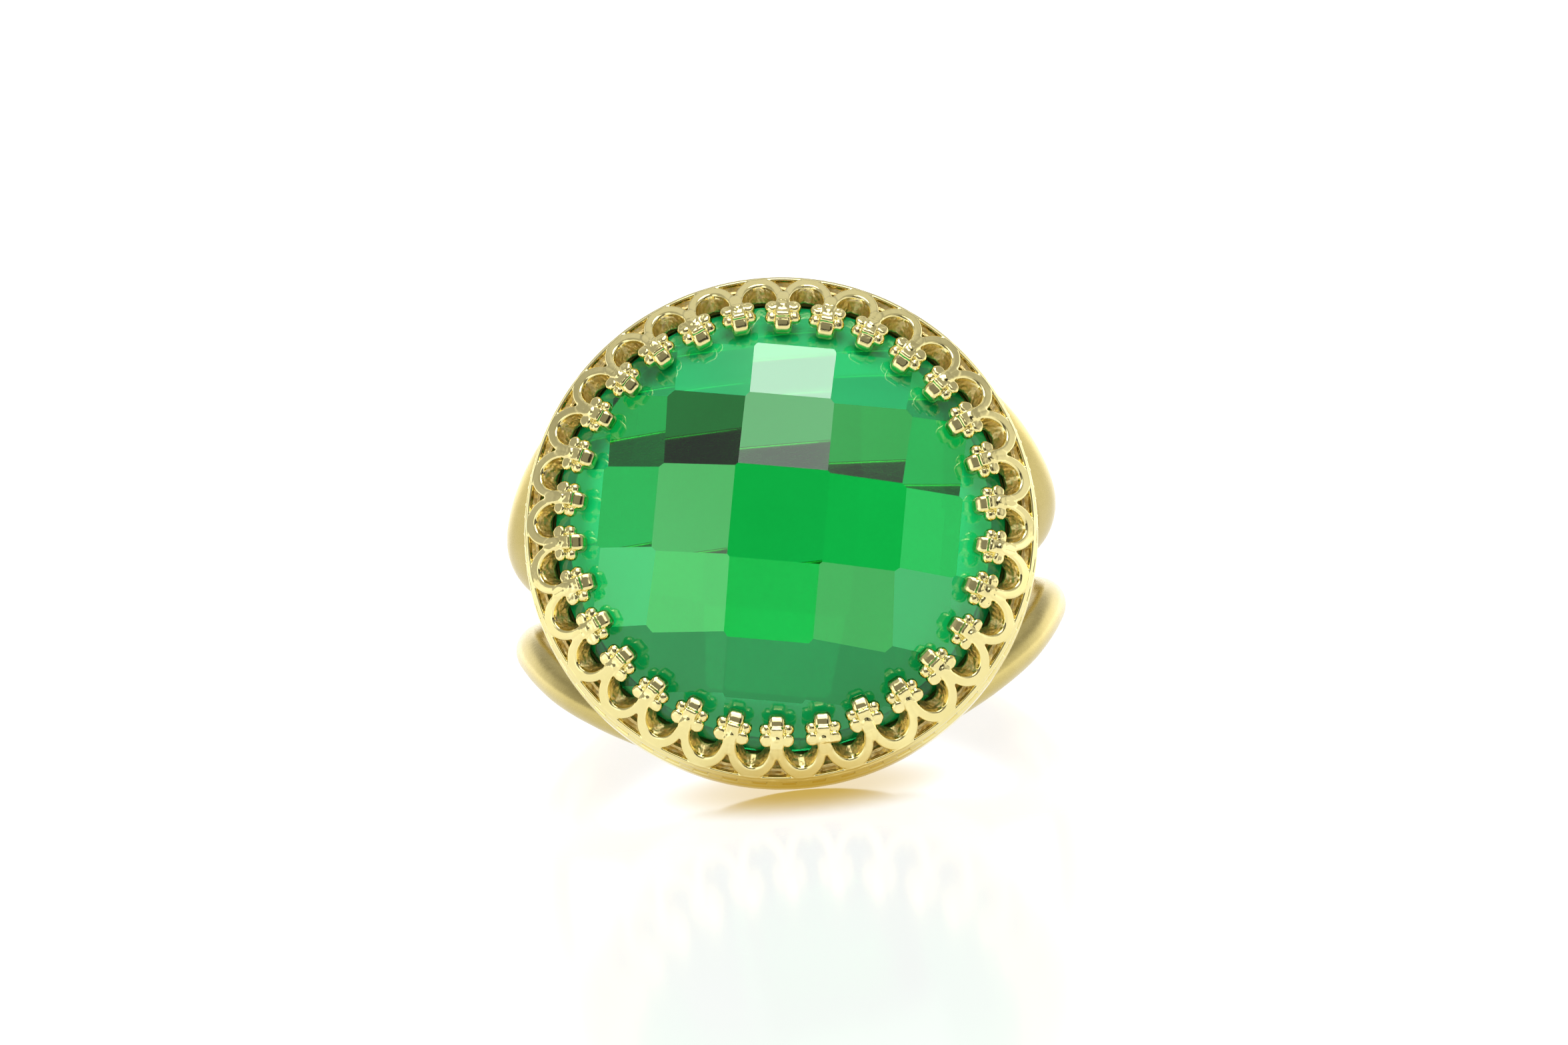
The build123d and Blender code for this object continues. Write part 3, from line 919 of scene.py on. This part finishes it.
seen = ft.nodes.new("ShaderNodeLightPath").outputs["Is Camera Ray"]
dim = math_node(ft, "MULTIPLY", fade(along(e_front), 0.080, 0.120), fade(along(e_side), -0.055, -0.030))
glow = math_node(ft, "SUBTRACT", 0.90, math_node(ft, "MULTIPLY", seen, 0.10))
glow = math_node(ft, "MULTIPLY", glow, math_node(ft, "SUBTRACT", 1.0, math_node(ft, "MULTIPLY", dim, 0.9)))
ft.links.new(glow, fb.inputs["Emission Strength"])
# painted reflection: the table's glow turns gold where the rim touches it
off = math_node(ft, "SUBTRACT", along(e_front), 0.0118)
far = math_node(ft, "ADD", math_node(ft, "POWER", math_node(ft, "ABSOLUTE", math_node(ft, "MULTIPLY", along(e_side), 1 / 0.0064)), 2.0),
                math_node(ft, "POWER", math_node(ft, "ABSOLUTE", math_node(ft, "MULTIPLY", off, 1 / 0.0046)), 2.0))
rim_reflection_glow = math_node(ft, "MULTIPLY", math_node(ft, "SUBTRACT", 1.0, fade(far, 0.0, 1.0)), 1.0)
rim_reflection_tint = ft.nodes.new("ShaderNodeMix"); rim_reflection_tint.data_type = "RGBA"
ft.links.new(rim_reflection_glow, rim_reflection_tint.inputs["Factor"])
rim_reflection_tint.inputs["A"].default_value = (1, 1, 1, 1)
rim_reflection_tint.inputs["B"].default_value = (0.55, 0.385, 0.095, 1)
ft.links.new(rim_reflection_tint.outputs["Result"], fb.inputs["Emission Color"])
# the table is only there from above, so that the ring can be looked at from below
geo = ft.nodes.new("ShaderNodeNewGeometry")
tr = ft.nodes.new("ShaderNodeBsdfTransparent")
mx = ft.nodes.new("ShaderNodeMixShader")
ft.links.new(geo.outputs["Backfacing"], mx.inputs[0])
ft.links.new(fb.outputs[0], mx.inputs[1])
ft.links.new(tr.outputs[0], mx.inputs[2])
ft.links.new(mx.outputs[0], fo.inputs[0])
floor.data.materials.append(mt)

# ---------------------------------------------------------------- light: a soft tent, with brighter and darker sides
world = bpy.data.worlds.new("studio")
bpy.context.scene.world = world
world.use_nodes = True
wt = world.node_tree
for n in list(wt.nodes):
    wt.nodes.remove(n)
wo = wt.nodes.new("ShaderNodeOutputWorld")
bg = wt.nodes.new("ShaderNodeBackground")
wt.links.new(bg.outputs[0], wo.inputs[0])
wdir = wt.nodes.new("ShaderNodeTexCoord").outputs["Generated"]


def dot_dir(vec):
    n = wt.nodes.new("ShaderNodeVectorMath"); n.operation = "DOT_PRODUCT"
    wt.links.new(wdir, n.inputs[0]); n.inputs[1].default_value = vec
    return n.outputs["Value"]


def soft(x, a, b):
    """0 below a, 1 above b, smooth between (a may be above b)."""
    n = wt.nodes.new("ShaderNodeMapRange")
    n.interpolation_type = "SMOOTHSTEP"
    wt.links.new(x, n.inputs["Value"])
    if a < b:
        n.inputs["From Min"].default_value, n.inputs["From Max"].default_value = a, b
        n.inputs["To Min"].default_value, n.inputs["To Max"].default_value = 0, 1
    else:
        n.inputs["From Min"].default_value, n.inputs["From Max"].default_value = b, a
        n.inputs["To Min"].default_value, n.inputs["To Max"].default_value = 1, 0
    return n.outputs["Result"]


def mul(a, b):
    return math_node(wt, "MULTIPLY", a, b)


def add(a, b):
    return math_node(wt, "ADD", a, b)


wx, wf, wh = dot_dir(e_side), dot_dir(e_front), dot_dir(e_up)
low = soft(wh, 0.62, 0.20)                                  # near the horizon
front = soft(wf, 0.45, 0.75)
level = add(0.435, mul(mul(mul(soft(wx, 0.2, 0.9), low), soft(wf, 0.30, 0.05)), 0.50))    # right side bright
level = add(level, mul(mul(soft(wf, -0.25, -0.5), soft(wh, 0.55, 0.75)), 0.34))     # upper back a little brighter
level = add(level, mul(mul(mul(soft(wx, -0.6, -0.95), low), soft(wf, 0.30, 0.05)), 0.10))   # left side
level = mul(level, math_node(wt, "SUBTRACT", 1.0, mul(front, 0.93)))                  # the camera's side is dark
level = add(level, mul(mul(soft(wf, -0.3, -0.8), soft(wh, 0.50, 0.25)), 1.1))         # backdrop
level = add(level, mul(mul(soft(wx, -0.35, -0.6), mul(soft(wf, 0.3, 0.6), soft(wh, 0.7, 0.5))), 1.5))  # fill, front left
box = mul(mul(soft(wx, -0.26, -0.16), soft(wx, 0.42, 0.30)), mul(soft(wf, -0.22, -0.10), mul(soft(wf, 0.30, 0.24), soft(wh, 0.6, 0.8))))
level = add(level, mul(box, 6.4))                           # softbox overhead
apron = mul(mul(soft(wx, -0.24, -0.14), soft(wx, 0.62, 0.45)), mul(soft(wf, 0.22, 0.30), mul(soft(wf, 0.76, 0.66), soft(wh, 0.45, 0.62))))
level = add(level, mul(apron, 2.0))                         # its lower, dimmer edge
camray = wt.nodes.new("ShaderNodeLightPath").outputs["Is Camera Ray"]
level = add(mul(level, math_node(wt, "SUBTRACT", 1.0, camray)), mul(camray, 1.0))
bg.inputs[0].default_value = (1, 1, 1, 1)
wt.links.new(level, bg.inputs[1])

# ---------------------------------------------------------------- camera
TX, TY, ROLL, FOCAL, DIST = math.radians(0.27), math.radians(8.99), math.radians(5.27), 165.57, 268.0
back = Vector((math.sin(TX), -math.sin(TY) * math.cos(TX), math.cos(TY) * math.cos(TX)))
u0 = (Vector((0, 1, 0)) - back * back.dot(Vector((0, 1, 0)))).normalized()
r0 = u0.cross(back)
right = r0 * math.cos(ROLL) - u0 * math.sin(ROLL)
up = r0 * math.sin(ROLL) + u0 * math.cos(ROLL)
aim = (-back - right * 0.000333 + up * 0.007387).normalized()
fill_data = bpy.data.lights.new("front_fill", "AREA")      # a dim panel round the lens, for the metal only
fill_data.shape = "SQUARE"
fill_data.size = 0.34
fill_data.energy = 0.085
fill = bpy.data.objects.new("front_fill", fill_data)
bpy.context.scene.collection.objects.link(fill)
fill.location = (e_up * 0.22 + e_front * 0.36)
fill.rotation_euler = (-fill.location).to_track_quat("-Z", "Y").to_euler()
metal = bpy.data.collections.new("metal")
for ob in (gallery_ob, bearing_ob, base_ob, band_front, band_rear):
    metal.objects.link(ob)
fill.light_linking.receiver_collection = metal
cam_data = bpy.data.cameras.new("camera")
cam_data.sensor_width = 36.0
cam_data.lens = FOCAL
cam_data.clip_start = 0.01
cam_data.clip_end = 20
cam = bpy.data.objects.new("camera", cam_data)
bpy.context.scene.collection.objects.link(cam)
z_ = -aim
x_ = up.cross(z_).normalized()
y_ = z_.cross(x_)
m = Matrix((x_, y_, z_)).transposed().to_4x4()
m.translation = back * DIST * MM
cam.matrix_world = m
bpy.context.scene.camera = cam

sc = bpy.context.scene
sc.view_settings.view_transform = "Standard"
sc.cycles.use_denoising = True
sc.cycles.max_bounces = 12
sc.cycles.transmission_bounces = 10
sc.cycles.glossy_bounces = 5
